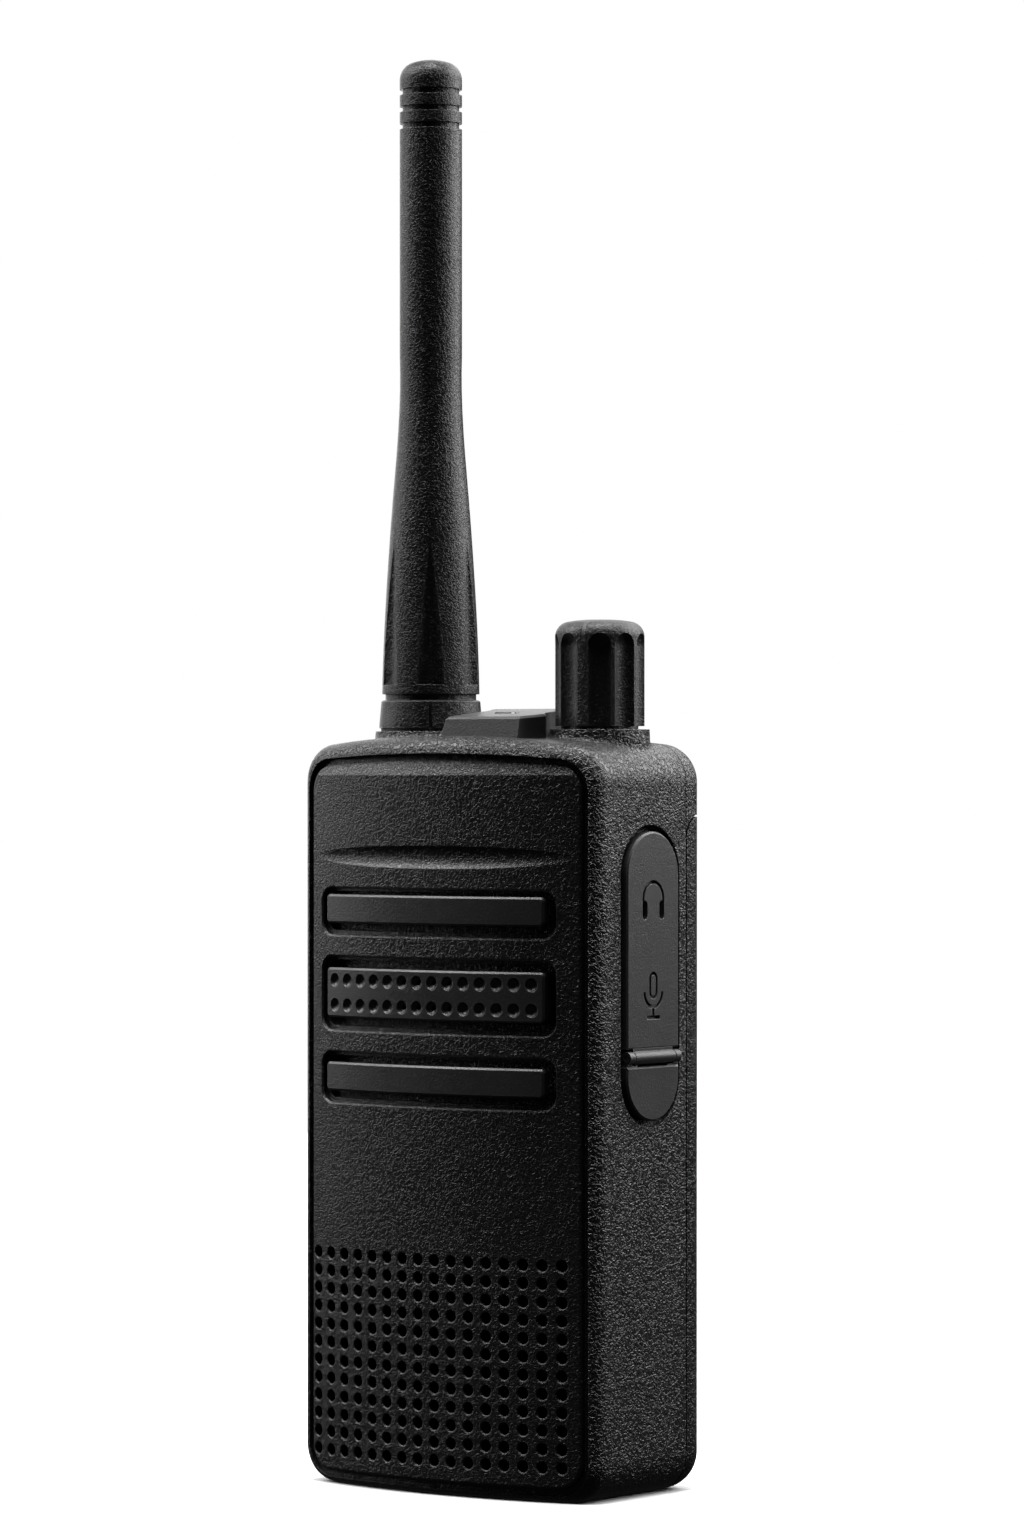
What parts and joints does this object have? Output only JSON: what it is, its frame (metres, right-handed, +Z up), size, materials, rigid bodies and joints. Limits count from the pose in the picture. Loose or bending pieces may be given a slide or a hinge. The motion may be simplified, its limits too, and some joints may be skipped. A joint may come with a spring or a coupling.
{
  "type": "two way radio",
  "caption": "Handheld two way radio with a stub antenna, turning volume knob, bowed front with bar keys and speaker grille, hinged socket cover and removable battery.",
  "frame": {"origin": "on the base, under the middle of the body", "axes": "+Z up through the antenna's end, front and speaker face -Y, +X is the right-hand side seen from the front (the socket cover's side)"},
  "size_m": [0.0613, 0.0353, 0.2248],
  "materials": {
    "housing_plastic": "fine pebble grain",
    "panel_plastic": "very fine grain",
    "bar_plastic": "smooth satin",
    "cloth": "woven",
    "seal_rubber": "matte",
    "steel": "satin",
    "cone_paper": "pressed paper",
    "tin": "tinned",
    "board_green": "solder mask",
    "chip_black": "moulded",
    "brass": "turned",
    "antenna_rubber": "fine matte grain",
    "knob_plastic": "satin",
    "pointer_paint": "flat paint",
    "block_plastic": "satin",
    "lens_plastic": "smoked gloss",
    "pipe_plastic": "clear",
    "button_rubber": "matte",
    "cover_rubber": "smooth satin",
    "chassis_metal": "black powder coat, fine grain",
    "gold": "gold plate",
    "pack_plastic": "fine grain",
    "cell_wrap": "foil"
  },
  "bodies": {
    "radio_body": {"front_housing": "housing_plastic", "front_panel": "panel_plastic", "mic_grille_bar": "bar_plastic", "speaker_cloth": "cloth", "speaker_gasket": "seal_rubber", "speaker_frame": "steel", "speaker_cone": "cone_paper", "speaker_magnet": "tin", "mic_boot": "seal_rubber", "mic_capsule": "tin", "main_board": "board_green", "board_screws": "steel", "rf_shields": "tin", "board_components": "chip_black", "dome_switches": "steel", "antenna_bushing": "brass", "antenna_washer": "seal_rubber", "antenna_collar": "antenna_rubber", "antenna_stud": "brass", "antenna_sheath": "antenna_rubber", "antenna_core": "steel", "antenna_coil": "brass", "volume_pot": "steel", "pot_nut": "brass", "top_block": "block_plastic", "led_lens": "lens_plastic", "light_pipe": "pipe_plastic", "side_bezel": "block_plastic", "side_board": "board_green", "side_switches": "chip_black", "dust_cover_anchor": "cover_rubber", "cover_pin": "steel", "anchor_clip": "steel", "headset_jack_large": "chip_black", "headset_jack_small": "chip_black", "rear_chassis": "chassis_metal", "chassis_screws": "steel", "main_seal": "seal_rubber", "contact_block": "chip_black", "contact_pins": "gold"},
    "volume_knob": {"volume_knob": "knob_plastic", "knob_pointer": "pointer_paint", "knob_insert": "brass", "knob_shaft": "steel"},
    "talk_button": {"talk_button": "button_rubber"},
    "upper_side_key": {"upper_side_key": "button_rubber"},
    "lower_side_key": {"lower_side_key": "button_rubber"},
    "upper_front_key": {"upper_front_key": "bar_plastic"},
    "lower_front_key": {"lower_front_key": "bar_plastic"},
    "cover_flap": {"dust_cover_flap": "cover_rubber"},
    "battery_pack": {"battery_shell": "pack_plastic", "battery_tub": "pack_plastic", "battery_cells": "cell_wrap", "battery_board": "board_green", "battery_contacts": "gold", "charging_contacts": "gold", "latch_spring": "steel"},
    "latch": {"battery_latch": "block_plastic"}
  },
  "joints": [
    {"name": "knob_turn", "type": "hinge", "parent": "radio_body", "child": "volume_knob", "pos_m": [0.0187, 0.0015, 0.125], "axis": [0, 0, -1], "range_deg": [-150, 120]},
    {"name": "talk_press", "type": "slide", "parent": "radio_body", "child": "talk_button", "axis": [1, 0, 0], "range_m": [0, 0.0011], "stiffness_N_per_m": 1500, "springref_m": -0.0002},
    {"name": "upper_side_press", "type": "slide", "parent": "radio_body", "child": "upper_side_key", "axis": [1, 0, 0], "range_m": [0, 0.0008], "stiffness_N_per_m": 2500, "springref_m": -0.0002},
    {"name": "lower_side_press", "type": "slide", "parent": "radio_body", "child": "lower_side_key", "axis": [1, 0, 0], "range_m": [0, 0.0008], "stiffness_N_per_m": 2500, "springref_m": -0.0002},
    {"name": "upper_front_press", "type": "slide", "parent": "radio_body", "child": "upper_front_key", "axis": [0, 1, 0], "range_m": [0, 0.0008], "stiffness_N_per_m": 2500, "springref_m": -0.0002},
    {"name": "lower_front_press", "type": "slide", "parent": "radio_body", "child": "lower_front_key", "axis": [0, 1, 0], "range_m": [0, 0.0008], "stiffness_N_per_m": 2500, "springref_m": -0.0002},
    {"name": "cover_open", "type": "hinge", "parent": "radio_body", "child": "cover_flap", "pos_m": [0.0292, 0.0006, 0.06795], "axis": [0, 1, 0], "range_deg": [0, 120]},
    {"name": "battery_out", "type": "slide", "parent": "radio_body", "child": "battery_pack", "axis": [0, 1, 0], "range_m": [0, 0.016]},
    {"name": "latch_down", "type": "slide", "parent": "battery_pack", "child": "latch", "axis": [0, 0, -1], "range_m": [0, 0.0018], "stiffness_N_per_m": 900, "springref_m": -0.0008, "deforming": ["latch_spring"]}
  ]
}
